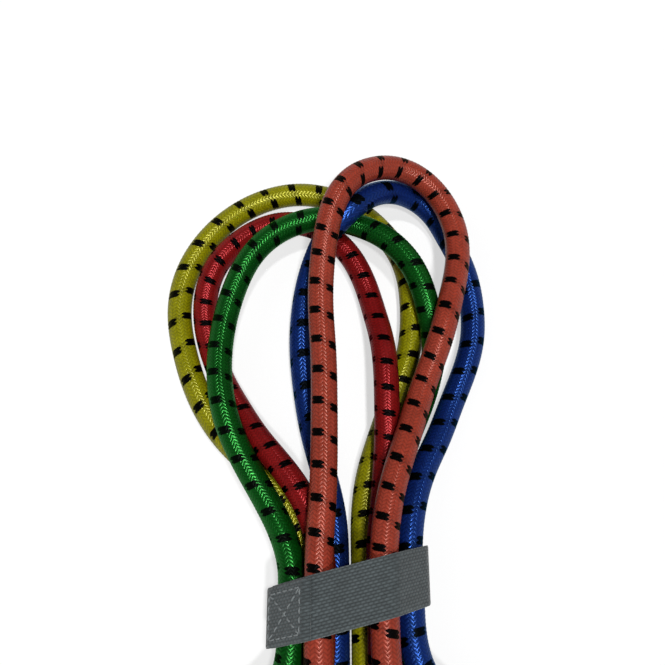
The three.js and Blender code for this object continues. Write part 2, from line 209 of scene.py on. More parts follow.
# %% [markdown]
# ## A smooth line through the points
#
# A real cord bends evenly, with no kinks at the points. A natural cubic spline does the same thing as a
# thin springy rod: it passes through each point with the least bending. It is solved once as a small set of
# equations, and then read again at even steps, so that the braid's stitches come out equally long.

# %% Cord line
LINE_STEP = 0.0008
SPLINE_STEPS = 60


def line_run(line):
    """How far along a line each of its points lies: the sum of the steps up to it."""
    return np.concatenate([[0], np.cumsum(np.linalg.norm(np.diff(line, axis=0), axis=1))])


def line_length(line):
    """The sum of the steps along a line."""
    return float(line_run(line)[-1])


def read_line(line, run, places):
    """What a line holds at any distances along it, in straight shares between its points."""
    return np.stack([np.interp(places, run, numbers) for numbers in line.T], axis=-1)


def cord_line(points):
    """Natural cubic through the points, read again at even steps.

    On each stretch the curve is the straight line plus (a^3 - a) and (s^3 - s) shares of the bending at its
    two ends, with s the share of the stretch and a = 1 - s. Equal slopes on both sides of each point give the
    bending.
    """
    gaps = np.linalg.norm(np.diff(points, axis=0), axis=1)
    last = len(points) - 1
    inner = np.arange(1, last)
    balance = np.eye(last + 1)
    balance[inner, inner - 1] = gaps[:-1]
    balance[inner, inner] = 2 * (gaps[:-1] + gaps[1:])
    balance[inner, inner + 1] = gaps[1:]
    slopes = np.diff(points, axis=0) / gaps[:, None]
    pull = np.zeros_like(points)
    pull[1:-1] = 6 * np.diff(slopes, axis=0)
    bending = np.linalg.solve(balance, pull)
    share = np.linspace(0, last, SPLINE_STEPS * last + 1)
    stretch = np.minimum(share.astype(int), last - 1)
    s = (share - stretch)[:, None]
    a = 1 - s
    bulge = (a ** 3 - a) * bending[stretch] + (s ** 3 - s) * bending[stretch + 1]
    fine = a * points[stretch] + s * points[stretch + 1] + bulge * gaps[stretch, None] ** 2 / 6
    run = line_run(fine)
    return read_line(fine, run, np.linspace(0, run[-1], round(run[-1] / LINE_STEP) + 1))


cord_lines = {}
for colour, route in CORD_ROUTES.items():
    parts = {part: np.array(points) / 1000 for part, points in route.items()}
    cord_lines[colour] = cord_line(parts["loop"])
    for side, end in (("left", 0), ("right", -1)):
        leg = colour + "_" + side
        leg_points = [parts["loop"][[end]], parts[side], fan_points(leg, LEG_STRAIGHT)]
        cord_lines[leg] = cord_line(np.concatenate(leg_points))
    lengths = [line_length(cord_lines[colour + part]) * 1000 for part in ("", "_left", "_right")]
    print("%s cord: loop %.0f mm, whole cord %.0f mm" % (colour, lengths[0], sum(lengths)))

# %% [markdown]
# ## From a grid of points to a mesh
#
# Most pieces here are tubes: rings of points, one ring after the other. Blender has curves with a round
# bevel for that, but a grid of our own knows where each point lies on the cord, and the braid needs exactly
# that. So one helper turns a grid into faces, and stores where on the piece each face corner lies as a UV
# map.

# %% Grid to mesh
def ring_faces(rows, columns):
    """Four corners for each cell of a grid whose last column meets its first, turned to face outwards."""
    row, column = np.meshgrid(np.arange(rows - 1), np.arange(columns), indexing="ij")
    after = (column + 1) % columns
    corners = [row * columns + column, row * columns + after]
    corners += [(row + 1) * columns + after, (row + 1) * columns + column]
    return np.stack(corners, axis=-1).reshape(-1, 4)


def end_faces(rows, columns):
    """Triangles from the first and the last ring to one point in the middle of each."""
    ring = np.arange(columns)
    after = (ring + 1) % columns
    first = np.stack([after, ring, np.full(columns, rows * columns)], axis=-1)
    end = (rows - 1) * columns
    last = np.stack([end + ring, end + after, np.full(columns, rows * columns + 1)], axis=-1)
    return np.concatenate([first, last])


def mesh_piece(name, points, faces):
    """A smooth mesh object that sits at the origin, with its place in its points."""
    mesh = bpy.data.meshes.new(name)
    mesh.from_pydata(points.reshape(-1, 3).tolist(), [], faces)
    mesh.polygons.foreach_set("use_smooth", np.ones(len(mesh.polygons), bool))
    mesh.update()
    piece = bpy.data.objects.new(name, mesh)
    bpy.context.collection.objects.link(piece)
    return piece


def add_map(piece, title, corners):
    """A UV map from a pair of numbers for each face corner."""
    layer = piece.data.uv_layers.new(name=title)
    layer.data.foreach_set("uv", corners.astype(np.float32).ravel())


def tube_piece(name, grid, title=None, pairs=None, closed_ends=True):
    """A mesh object from a grid of rings, and a map from a pair for every corner of the grid, seam included.

    The ends are closed by a fan of triangles, or, for a tube whose last ring is its first, sewn together.
    """
    rows, columns = grid.shape[:2]
    faces = ring_faces(rows, columns)
    if closed_ends:
        points = np.concatenate([grid.reshape(-1, 3), grid[:1].mean(axis=1), grid[-1:].mean(axis=1)])
        faces = faces.tolist() + end_faces(rows, columns).tolist()
    else:
        points = grid[:-1].reshape(-1, 3)
        faces = (faces % len(points)).tolist()
    piece = mesh_piece(name, points, faces)
    if title:
        cells = [pairs[:-1, :-1], pairs[:-1, 1:], pairs[1:, 1:], pairs[1:, :-1]]
        corners = np.stack(cells, axis=2).reshape(-1, 2)
        if closed_ends:
            one = np.concatenate([pairs[0, 1:], pairs[-1, :-1]])
            other = np.concatenate([pairs[0, :-1], pairs[-1, 1:]])
            middle = np.repeat(pairs[[0, -1]].mean(axis=1), columns, axis=0)
            corners = np.concatenate([corners, np.stack([one, other, middle], axis=1).reshape(-1, 2)])
        add_map(piece, title, corners)
    return piece


print("helpers for grids of points are ready")

# %% Directions round a line
def unit(vectors):
    """Each vector over its own length."""
    return vectors / np.linalg.norm(vectors, axis=-1, keepdims=True)


def line_sides(line):
    """Up and sideways at each point of a line: up is +Z without its part along the line."""
    along = unit(np.gradient(line, axis=0))
    up = unit(np.array([0, 0, 1.0]) - along * along[:, 2:])
    return up, np.cross(along, up)


def spoke(angle, up, side):
    """The direction at an angle from up towards the side."""
    return np.cos(angle)[..., None] * up + np.sin(angle)[..., None] * side


print("helpers for rings round a line are ready")

# %% [markdown]
# ## Shader arithmetic
#
# A braid is a repeating pattern, so its colour and its bumps can be formulas of the place on the cord. In
# Blender each sum or product is a node. A small class makes a node for each Python operator, so that the
# formulas below can be read as formulas.

# %% Numbers carried by nodes
def feed(socket, value):
    """Puts a number or a colour into a node's socket, or links a strand to it."""
    if isinstance(value, Strand):
        value.tree.links.new(value.socket, socket)
    else:
        socket.default_value = value


class Strand:
    """A number that runs through a material's nodes; each operation on it adds one node."""

    def __init__(self, tree, socket):
        self.tree = tree
        self.socket = socket

    def join(self, kind, *values, **settings):
        """One node of that kind, with the values put into its sockets in turn."""
        node = self.tree.nodes.new(kind)
        for setting, value in settings.items():
            setattr(node, setting, value)
        for socket, value in zip(node.inputs, values):
            feed(socket, value)
        return Strand(self.tree, node.outputs[0])

    def step(self, operation, *others):
        """One node for that operation, with this number as its first."""
        return self.join("ShaderNodeMath", self, *others, operation=operation)

    __add__ = partialmethod(step, "ADD")
    __sub__ = partialmethod(step, "SUBTRACT")
    __mul__ = partialmethod(step, "MULTIPLY")
    floor = partialmethod(step, "FLOOR")
    fract = partialmethod(step, "FRACT")
    size = partialmethod(step, "ABSOLUTE")
    power = partialmethod(step, "POWER")

    def between(self, low, high):
        """Low where the number is 0 and high where it is 1."""
        return self * (high - low) + low

    def ease(self, start, end, low=0.0, high=1.0):
        """Goes smoothly from low at start to high at end."""
        return self.join("ShaderNodeMapRange", self, start, end, low, high, interpolation_type="SMOOTHSTEP")


class Finish:
    """A new material with its shader and the places that its pattern can read."""

    def __init__(self, name, roughness, **shares):
        self.material = bpy.data.materials.new(name)
        self.material.use_nodes = True
        self.tree = self.material.node_tree
        self.shader = self.tree.nodes["Principled BSDF"]
        self.set("Roughness", roughness)
        for socket, share in shares.items():
            self.set(socket.replace("_", " "), share)

    def set(self, socket, value):
        """Puts a number, a colour or a strand into one of the shader's sockets."""
        feed(self.shader.inputs[socket], value)

    def map_places(self, title):
        """The two numbers of one of the piece's UV maps."""
        node = self.tree.nodes.new("ShaderNodeUVMap")
        node.uv_map = title
        split = self.tree.nodes.new("ShaderNodeSeparateXYZ")
        self.tree.links.new(node.outputs[0], split.inputs[0])
        return Strand(self.tree, split.outputs[0]), Strand(self.tree, split.outputs[1])

    def speckle(self, scale, detail=2.0):
        """Cloudy noise from 0 to 1 that is fixed to the object, with about scale clouds in a metre."""
        place = self.tree.nodes.new("ShaderNodeTexCoord")
        noise = self.tree.nodes.new("ShaderNodeTexNoise")
        noise.inputs["Scale"].default_value = scale
        noise.inputs["Detail"].default_value = detail
        self.tree.links.new(place.outputs["Object"], noise.inputs["Vector"])
        return Strand(self.tree, noise.outputs["Fac"])

    def chance(self, *numbers):
        """A fixed chance number from 0 to 1 for each set of whole numbers."""
        place = numbers[0].join("ShaderNodeCombineXYZ", *numbers)
        return place.join("ShaderNodeTexWhiteNoise", place)

    def blend(self, share, first, second):
        """The first colour where the share is 0 and the second where it is 1."""
        node = self.tree.nodes.new("ShaderNodeMix")
        node.data_type = "RGBA"
        feed(node.inputs[0], share)
        for socket, colour in ((node.inputs[6], first), (node.inputs[7], second)):
            feed(socket, colour if isinstance(colour, Strand) else (*colour, 1))
        return Strand(self.tree, node.outputs[2])

    def dyed_and_shaded(self, colour, shade):
        """The colour times a shade factor, which holds painted shade as well as the dye's own uneven tone."""
        shaded_dye = shade.join("ShaderNodeVectorMath", colour, operation="SCALE")
        feed(shaded_dye.socket.node.inputs["Scale"], shade)
        return shaded_dye

    def relief(self, height, depth):
        """Bumps of that depth in metres where the height goes from 0 to 1."""
        node = self.tree.nodes.new("ShaderNodeBump")
        node.inputs["Strength"].default_value = 1
        node.inputs["Distance"].default_value = depth
        feed(node.inputs["Height"], height)
        self.set("Normal", Strand(self.tree, node.outputs[0]))


print("shader helpers are ready")

# %% [markdown]
# ## The braided sheath
#
# A braiding machine lays yarns round the rubber in two directions. Seen close, the sheath is a set of
# columns along the cord, each a ladder of short slanted stitches, with the slant mirrored from one column
# to the next. Black tracer yarns wind along the cord and come to the surface four times in a turn, as a
# small block of two black rows with pointed ends. The colour and the fine relief are a formula of two
# numbers: one counts turns round the cord, the other counts rings of marks along it. The same two numbers
# place the mesh's points further down, so that the stitches stand out of the cord as well. A share of the
# gloss takes the colour of the dye, as on satin, because bright yarn shines in its own colour and the black
# yarn stays black.

# %% Braid finish
BRAID_COLUMNS = 20
STITCHES_PER_RING = 8
STITCH_SLANT = 0.85
STITCH_RELIEF = 0.00015
STITCH_DROP = 0.8
RIB_DROP = 0.5
FINE_RELIEF = 0.0001
YARN_ROUGHNESS = 0.3
MARKS_PER_TURN = 4
MARK_HALF_DEGREES = 34
MARK_TOOTH_DEGREES = 13
MARK_TOOTH_POWER = 1.6
MARK_BLUR_DEGREES = 1.5
MARK_BLUR_STITCHES = 0.06
MARK_TILT = 0.35
MARK_ROUGHNESS = 0.5
MARK_METAL = 0.95
GHOST_BLUR_STITCHES = 0.3
GHOST_SHARE = 0.5
TRACER_BLACK = (0.002, 0.002, 0.0022)


def braid_finish(name, colour, gleam, gloss, satin, handedness):
    """Colour, relief and gloss of a sheath: gleam is the gloss's colour, satin the share that has the dye's.

    Column = floor(columns in a turn * turns). Inside a column f runs from -0.5 to 0.5, and a stitch rises by
    its slant times f, to the left or to the right in turn. A stitch is highest in its middle, and its colour
    has a painted shade: darker where the stitch is low, lighter on its crown. The fine relief is the round of
    its yarn alone. The marks stand a quarter turn apart on a screw line of one ring per turn, each two
    stitches high and narrower at its row ends, and between them the tracer shows through as a ghost. Black
    metal has no gloss, so a mark is that.
    """
    braid = Finish(name, YARN_ROUGHNESS, Specular_IOR_Level=gloss, Specular_Tint=(*gleam, 1))
    turns, rings = braid.map_places("Braid")
    columns = turns * BRAID_COLUMNS
    column = columns.floor()
    inside = columns.fract() - 0.5
    slant = ((column * 0.5).fract() * 4 - 1) * STITCH_SLANT
    stitches = rings * STITCHES_PER_RING + slant * inside
    stitch = stitches.floor()
    bow = (stitches.fract() - 0.5) * 2
    rib = (inside.size() * 2).power(3).between(1, 1 - RIB_DROP)
    height = rib * (bow * bow).between(1, 1 - STITCH_DROP)

    sectors = turns * MARKS_PER_TURN
    aside = (sectors.fract() - 0.5) * (360 / MARKS_PER_TURN)
    climb = (sectors.floor() + 0.5) * (1 / MARKS_PER_TURN) + aside * (MARK_TILT / 360)
    level = ((rings - climb * handedness + 0.5).fract() - 0.5) * STITCHES_PER_RING
    row = (level.fract() - 0.5).size() * 2
    reach = row.power(MARK_TOOTH_POWER).between(MARK_HALF_DEGREES, MARK_HALF_DEGREES - MARK_TOOTH_DEGREES)
    sides = (aside.size() - reach).ease(MARK_BLUR_DEGREES, -MARK_BLUR_DEGREES)
    mark = sides * level.size().ease(1 + MARK_BLUR_STITCHES, 1 - MARK_BLUR_STITCHES)
    screw = ((rings - turns * handedness + 0.5).fract() - 0.5) * STITCHES_PER_RING
    ghost = screw.size().ease(1 + GHOST_BLUR_STITCHES, 1 - GHOST_BLUR_STITCHES) * bow.size().between(0.2, 0.7)
    dark = mark.step("MAXIMUM", ghost * GHOST_SHARE)

    yarn = braid.chance(column, stitch, column).between(0.87, 1.07)
    fade = braid.speckle(120).between(0.85, 1.15)
    # Painted shade: the colour is darker in the low gaps between stitches and columns and lighter on their
    # crowns; yarn and fade are the dye's own uneven tone.
    shaded_dye = braid.dyed_and_shaded(colour, height.between(0.6, 1.15) * yarn * fade)
    braid.set("Base Color", braid.blend(dark, shaded_dye, TRACER_BLACK))
    braid.set("Roughness", mark.between(YARN_ROUGHNESS, MARK_ROUGHNESS))
    braid.set("Metallic", mark.between(satin, MARK_METAL))
    braid.relief((bow * bow).between(1, 0), FINE_RELIEF)
    return braid.material


print("the finish has %d columns of stitches" % BRAID_COLUMNS)

# %% Dyes of the five cords: dye, gleam, gloss, satin, handedness
CORD_DYES = {
    "coral": ((0.28, 0.036, 0.019), (1, 0.77, 0.67), 0.33, 0.08, -1),
    "blue": ((0.006, 0.023, 0.165), (0.25, 0.65, 1), 0.65, 0.5, 1),
    "green": ((0.002, 0.086, 0.006), (0.42, 1, 0.48), 0.7, 0.6, -1),
    "red": ((0.21, 0.007, 0.007), (1, 0.42, 0.48), 0.34, 0.28, -1),
    "yellow": ((0.24, 0.23, 0.002), (1, 1, 0.6), 0.34, 0.18, 1),
}
braid_finishes = {colour: braid_finish("braid_" + colour, *dyes) for colour, dyes in CORD_DYES.items()}
print("braids:", ", ".join(material.name for material in braid_finishes.values()))

# %% [markdown]
# ## Where the marks lie
#
# A cord that was coiled and pulled about is twisted a little, differently from place to place, so its marks
# wander round it. For each cord one line of marks was followed along the photograph. At a few places the
# table gives how far along the loop the place is, at which angle from the top a mark lies there, and which
# ring of marks it is.

# %% Marks followed along the loops: millimetres along, degrees from the top, ring
MARK_PLACES = {
    "coral": [
        (0, -27, -1.75), (20.3, -27, 0), (54.9, -32, 3), (90.9, -33, 6), (126.1, -32, 9),
        (145.3, -27, 11), (164.6, -24, 13), (197.4, -43, 16), (229.8, -61, 19), (266.3, -65, 22),
        (296.3, -67, 25), (330.3, -67, 28), (360.7, -62, 31), (373.4, -60, 32.2),
    ],
    "blue": [
        (0, 8, -6.2), (79.6, 8, 0), (93.3, 11, 1), (106.5, 8, 2), (120.5, 0, 3), (146.1, -10, 5),
        (164.1, 0, 6), (179.8, 0, 7), (194.9, -21, 8), (245.7, -33, 12), (257.7, -50, 13),
        (282.3, -55, 15), (306.6, -58, 17), (375, -57, 22.5),
    ],
    "green": [
        (0, 8, -1.7), (19.2, 2, 0), (30.4, -16, 1), (42, -25, 2), (64.6, -25, 4), (87, -27, 6),
        (109.5, -28, 8), (131.5, -17, 10), (154.7, -22, 12), (166.3, -15, 13), (209.8, -14, 17),
        (222.2, -15, 18), (243.4, -38, 20), (254, -25, 21), (354, -25, 30),
    ],
    "red": [
        (0, 20, -3.9), (38.4, 21, 0), (57.2, 24, 2), (67.2, 28, 3), (118.9, 9, 8), (128.5, 14, 9),
        (147.3, 20, 11), (167.7, 18, 13), (219.7, 3, 18), (241, -4, 20), (264.6, -6, 22), (284.6, -3, 24),
        (303.4, -10, 26), (359, -10, 31.6),
    ],
    "yellow": [
        (0, -20, -5.9), (72.8, -22, 0), (97.3, -29, 2), (109.5, -38, 3), (121.9, -38, 4), (134.3, -28, 5),
        (159, -10, 7), (171.7, -14, 8), (195.9, -27, 10), (219.7, -13, 12), (278.2, -41, 17),
        (289.8, -46, 18), (302, -24, 19), (313.2, -28, 20), (324.5, -17, 21), (368.5, -14, 25),
        (390.9, 10, 27), (408, 10, 28.5),
    ],
}
LEG_MARKS = [(0, -30, 0), (230, -30, 20)]
MARK_TURN = 0.375
print("marks followed:", sum(len(places) for places in MARK_PLACES.values()))

# %% [markdown]
# ## The five loops and ten legs
#
# The loop of a cord is laid down and stays, and its legs behind the band are what stretches. So each cord
# is three tubes that meet inside the band, where no one can see the joins. The second UV map lays the tube
# out in strips side by side, for anyone who wants to bake the braid into pictures.

# %% Braid points
SIDES_PER_COLUMN = 2
RING_SIDES = SIDES_PER_COLUMN * BRAID_COLUMNS
ROWS_PER_STITCH = 2
END_STITCHES = 0.8
SEAM_COLUMN = (MARK_TURN - 0.5) * BRAID_COLUMNS


def stitch_height(columns, stitches):
    """From 0 to 1: highest in the middle of a column and in the middle of a stitch, as in the finish."""
    rib = 1 - RIB_DROP * np.abs(columns % 1 * 2 - 1) ** 3
    return rib * (1 - STITCH_DROP * (stitches % 1 * 2 - 1) ** 2)


def braid_points(line, marks, handedness):
    """Rows of points round a line that follow the stitches, and the braid's two numbers at each of them.

    A row keeps its place in the stitches all the way round, so it runs in a zigzag: half a slant forward on
    one side of a column, half a slant back on the other. The table of marks says how far along the line a
    ring lies and how far the cord is twisted there. A point's distance from the line is the radius less the
    relief times one minus the height. The first and the last row are plain rings.
    """
    millimetres, degrees, rings = np.array(marks).T
    metres = millimetres / 1000
    run = line_run(line)
    columns = SEAM_COLUMN + np.arange(RING_SIDES + 1) / SIDES_PER_COLUMN
    first, last = np.interp(run[[0, -1]], metres, rings) * STITCHES_PER_RING
    lowest = math.ceil((first + END_STITCHES) * ROWS_PER_STITCH)
    rows = np.arange(lowest, (last - END_STITCHES) * ROWS_PER_STITCH)
    phase = np.concatenate([[first], rows / ROWS_PER_STITCH, [last]])[:, None]
    inner = np.ones_like(phase)
    inner[[0, -1]] = 0
    zigzag = STITCH_SLANT * (0.5 - np.abs((columns + 1) % 2 - 1))
    ring = (phase - zigzag * inner) / STITCHES_PER_RING
    place = np.interp(ring, rings, metres)
    place[0] = 0
    place[-1] = run[-1]
    turns = columns / BRAID_COLUMNS + np.zeros_like(ring)
    angle = (turns - MARK_TURN) * 2 * math.pi + np.radians(np.interp(place, metres, degrees))
    radius = CORD_DIAMETER / 2 - STITCH_RELIEF * (1 - stitch_height(columns, phase)) * inner
    middle, up, sideways = (read_line(part, run, place) for part in (line, *line_sides(line)))
    points = middle + radius[..., None] * spoke(angle, up, sideways)
    return points, np.stack([turns, ring + handedness * MARK_TURN], axis=-1)


print("%d points in a row, %d rows for a stitch" % (RING_SIDES, ROWS_PER_STITCH))

# %% Cord tubes
BAKE_EDGE = 0.01


def strip_corners(rows, strips):
    """Each cell's corners in its own strip, so that no cell is drawn across two of them."""
    place = np.linspace(0, strips, rows)[:, None]
    turn = np.linspace(0, 1, RING_SIDES + 1)
    strip = np.minimum(place[:-1].astype(int), strips - 1)
    pairs = []
    for row, column in ((0, 0), (0, 1), (1, 1), (1, 0)):
        across = BAKE_EDGE + turn[column:RING_SIDES + column] * (1 - 2 * BAKE_EDGE)
        rise = BAKE_EDGE + (place[row:rows - 1 + row] - strip) * (1 - 2 * BAKE_EDGE)
        pairs.append(np.stack(np.broadcast_arrays((strip + across) / strips, rise), axis=-1))
    return np.stack(pairs, axis=2).reshape(-1, 2)


def cord_tube(name, line, strips, marks, colour):
    """The braid's rows as one closed tube; its first map has the braid's numbers, its second the strips."""
    points, numbers = braid_points(line, marks, CORD_DYES[colour][-1])
    piece = tube_piece(name, points[:, :-1], "Braid", numbers)
    cells = strip_corners(len(points), strips)
    corners = np.full((len(piece.data.loops), 2), BAKE_EDGE / 2)
    corners[:len(cells)] = cells
    add_map(piece, "OFBake", corners)
    piece.data.materials.append(braid_finishes[colour])
    return piece


print("strips for baking keep %.0f %% free at their edges" % (BAKE_EDGE * 100))

# %% Loops and legs
LOOP_STRIPS = 4
LEG_STRIPS = 2


for colour in CORD_ROUTES:
    loop_line = cord_lines[colour]
    loop = cord_tube(colour + "_braid_loop", loop_line, LOOP_STRIPS, MARK_PLACES[colour], colour)
    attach(loop, "bundle")
    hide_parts(colour + "_sheath_loop", colour + "_rubber_core")
    for side in ("left", "right"):
        leg = colour + "_" + side
        leg_line = cord_lines[leg]
        tail = cord_tube(leg + "_braid_leg", leg_line, LEG_STRIPS, LEG_MARKS, colour)
        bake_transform(tail)
        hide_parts("%s_sheath_%s_tail" % (colour, side))
    print("%s loop: %d corners in its mesh" % (colour, len(loop.data.vertices)))

# %% [markdown]
# ## The binding band
#
# A strap of dark grey webbing goes once round the ten legs and is sewn to itself. It could be a ring cut
# from a sheet, but a strap pulled tight has its own shape: straight between the outer legs and rounded over
# them. So its path is the outline of the outer six legs, and a thin section with soft edges is carried
# along it. The band sits a little askew, as in the photograph, where its upper edge climbs to the right.

# %% Path of the strap round the legs
STRAP_CORNERS = ["green_right", "blue_right", "coral_right", "coral_left", "green_left", "yellow_left"]
STRAP_INSIDE = 0.0053
STRAP_POINTS = 300
ARC_POINTS = 25


def strap_outline(distance, count):
    """Points at even steps round the legs: an arc at that distance from each corner leg, straight between."""
    legs = np.array([cord_lines[leg][0][[0, 2]] for leg in STRAP_CORNERS])
    runs = np.roll(legs, -1, axis=0) - legs
    facing = np.unwrap(np.arctan2(runs[:, 1], runs[:, 0])) - math.pi / 2
    before = np.roll(facing, 1)
    before[0] -= 2 * math.pi
    share = np.linspace(0, 1, ARC_POINTS)
    angle = before[:, None] * (1 - share) + facing[:, None] * share
    arcs = legs[:, None] + distance * np.stack([np.cos(angle), np.sin(angle)], axis=-1)
    loop = np.concatenate([arcs.reshape(-1, 2), arcs[0, :1]])
    run = line_run(loop)
    even = np.linspace(0, run[-1], count)
    return read_line(loop, run, even), even


outline, strap_run = strap_outline(STRAP_INSIDE, STRAP_POINTS + 1)
heading = np.gradient(np.concatenate([outline[-2:-1], outline, outline[1:2]]), axis=0)[1:-1]
outward = unit(np.stack([heading[:, 1], -heading[:, 0]], axis=1))
print("strap: %.0f mm round the legs" % (strap_run[-1] * 1000))

# %% Section of the strap
STRAP_WIDTH = 0.02
STRAP_THICKNESS = 0.0016
STRAP_SLANT = 0.25
SECTION_POINTS = 56
SECTION_POWER = 8
SELVEDGE_RISE = 0.14
SELVEDGE_PLACE = 0.93
SELVEDGE_SPREAD = 0.05


def round_angles(count):
    """Even angles once round, without the last, which is the first again."""
    return np.linspace(0, 2 * math.pi, count, endpoint=False)


def strap_section():
    """A rounded bar from -1 to 1 each way: a direction over the eighth root of its eighth powers."""
    angle = round_angles(SECTION_POINTS)[::-1]
    way = np.stack([np.cos(angle), np.sin(angle)], axis=1)
    return way / (np.abs(way) ** SECTION_POWER).sum(axis=1, keepdims=True) ** (1 / SECTION_POWER)


def strap_grid(part, low, half_width):
    """The bar carried along part of the outline, and how far across the strap its points lie.

    The bar's first number runs across the strap and its second through it, thicker by a bell-shaped amount
    near both edges. The slant shifts the strap along the cords as it goes to the right.
    """
    section = strap_section()
    selvedge = np.exp(-((np.abs(section[:, 0]) - SELVEDGE_PLACE) / SELVEDGE_SPREAD) ** 2)
    through = low + STRAP_THICKNESS * (0.5 + 0.5 * section[:, 1] * (1 + SELVEDGE_RISE * selvedge))
    flat = outline[part, None] + outward[part, None] * through[:, None]
    across = half_width * section[:, 0]
    return np.stack([flat[..., 0], across + STRAP_SLANT * flat[..., 0], flat[..., 1]], axis=-1), across


print("strap section: %d points" % SECTION_POINTS)

# %% [markdown]
# ## Webbing
#
# Narrow woven webbing shows ribs that run along the strap, each a row of small humps where the warp passes
# over the weft, shifted by half a hump from rib to rib. The finish is again a formula of the place on the
# strap. The dye is uneven from yarn to yarn, and the two woven edges are a little lighter where they rub.

# %% Webbing finish
WEBBING_RIB = 0.00105
WEBBING_HUMP = 0.0017
WEBBING_RELIEF = 0.00022
WEBBING_DYE = (0.062, 0.077, 0.081)


def webbing_finish():
    """Height = rounded ribs across the strap times rounded humps along it, half a hump apart in turn."""
    webbing = Finish("webbing_slate", 0.72, Specular_IOR_Level=0.35, Sheen_Weight=0.25, Sheen_Roughness=0.5)
    along, across = webbing.map_places("Weave")
    ribs = across * (1 / WEBBING_RIB)
    rib = ribs.floor()
    humps = along * (1 / WEBBING_HUMP) + (rib * 0.5).fract()
    hump = humps.floor()
    side = (ribs.fract() - 0.5) * 2
    bow = (humps.fract() - 0.5) * 2
    height = side.power(2).between(1, 0) * bow.power(2).between(1, 0.25)
    yarn = webbing.chance(rib, hump, rib).between(0.8, 1.1)
    wear = across.size().ease(STRAP_WIDTH * 0.42, STRAP_WIDTH * 0.5, 1.0, 1.35)
    fade = webbing.speckle(90).between(0.8, 1.2)
    # Painted shade: darker in the hollows between ribs and humps, lighter on their tops; yarn and fade are
    # the webbing's own uneven tone, and wear its lighter rubbed edges.
    webbing.set("Base Color", webbing.dyed_and_shaded(WEBBING_DYE, height.between(0.4, 1.15) * yarn * wear * fade))
    webbing.relief(height, WEBBING_RELIEF)
    return webbing.material


webbing_slate = webbing_finish()
print("finish:", webbing_slate.name)

# %% Strap
def strap_map(part, across):
    """Metres along the strap and metres across it, for every corner of the grid, seam included."""
    return np.stack(np.meshgrid(strap_run[part], np.append(across, across[0]), indexing="ij"), axis=-1)


all_round = slice(None)
strap_points, across = strap_grid(all_round, 0, STRAP_WIDTH / 2)
strap = tube_piece("webbing_strap", strap_points, "Weave", strap_map(all_round, across), closed_ends=False)
strap.data.materials.append(webbing_slate)
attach(strap, "bundle")
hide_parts("binding_band")
print("strap faces:", len(strap.data.polygons))

# %% [markdown]
# ## The sewn lap of the strap
#
# The strap's loose end lies on its first turn and is held by lines of stitches. It is the same thin
# section, carried only part of the way round, with its ends drawn in. The stitches are short rounded
# threads that dip into the cloth at both ends, all in one mesh.

# %% Lap
LAP_FROM = 0.48
LAP_TO = 0.63
LAP_FIRST = round(LAP_FROM * STRAP_POINTS)
LAP_LAST = round(LAP_TO * STRAP_POINTS)
LAP_LIFT = 0.00008
LAP_BASE = STRAP_THICKNESS + LAP_LIFT
LAP_HALF_WIDTH = 0.0097
LAP_TAPER = 0.0012
LAP_THINNEST = 0.03


def lap_grid(part):
    """The strap's section over part of the outline, drawn in along a quarter circle at both ends."""
    run = strap_run[part]
    reach = np.clip(np.minimum(run - run[0], run[-1] - run) / LAP_TAPER, LAP_THINNEST, 1)
    taper = np.sqrt(1 - (1 - reach) ** 2)
    grid, across = strap_grid(part, LAP_BASE, LAP_HALF_WIDTH)
    lower = (outline[part] + outward[part] * LAP_BASE)[:, None]
    grid[..., [0, 2]] = lower + (grid[..., [0, 2]] - lower) * taper[:, None, None]
    return grid, across


lap = slice(LAP_FIRST, LAP_LAST + 1)
lap_points, across = lap_grid(lap)
strap_lap = tube_piece("webbing_strap_lap", lap_points, "Weave", strap_map(lap, across))
strap_lap.data.materials.append(webbing_slate)
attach(strap_lap, "bundle")
print("lap: %.0f mm of strap" % ((strap_run[LAP_LAST] - strap_run[LAP_FIRST]) * 1000))

# %% Lines of stitches
STITCH_LENGTH = 0.0021
STITCH_STEP = 0.0028
SEAM_MARGIN = 0.0025
SEAM_HALF_WIDTH = 0.0072
FRAME_AND_CROSS = [(0, 1), (1, 2), (2, 3), (3, 0), (0, 2), (3, 1)]


def stitch_lines():
    """Starts and ends of all stitches, as metres along and across the lap: a frame and a cross inside it."""
    low = strap_run[LAP_FIRST] + SEAM_MARGIN
    high = strap_run[LAP_LAST] - SEAM_MARGIN
    half = SEAM_HALF_WIDTH
    corners = np.array([(low, -half), (high, -half), (high, half), (low, half)])
    starts = []
    ends = []
    for start, end in corners[FRAME_AND_CROSS]:
        length = np.linalg.norm(end - start)
        count = int(length / STITCH_STEP)
        places = ((np.arange(count) + 0.5) * length / count)[:, None]
        way = (end - start) / length
        starts.append(start + way * (places - STITCH_LENGTH / 2))
        ends.append(start + way * (places + STITCH_LENGTH / 2))
    return np.concatenate(starts), np.concatenate(ends)


stitch_starts, stitch_ends = stitch_lines()
print("stitches:", len(stitch_starts))

# %% Threads
THREAD_RADIUS = 0.0003
THREAD_RINGS = 5
THREAD_SIDES = 6
THREAD_END_FACES = [(5, 4, 3, 2), (5, 2, 1, 0), (24, 25, 26, 27), (24, 27, 28, 29)]
THREAD_ARCH = 0.00042
THREAD_SINK = 0.00022
THREAD_RELIEF = 0.00004
THREAD_DARK = (0.11, 0.125, 0.13)
THREAD_PALE = (0.2, 0.22, 0.225)


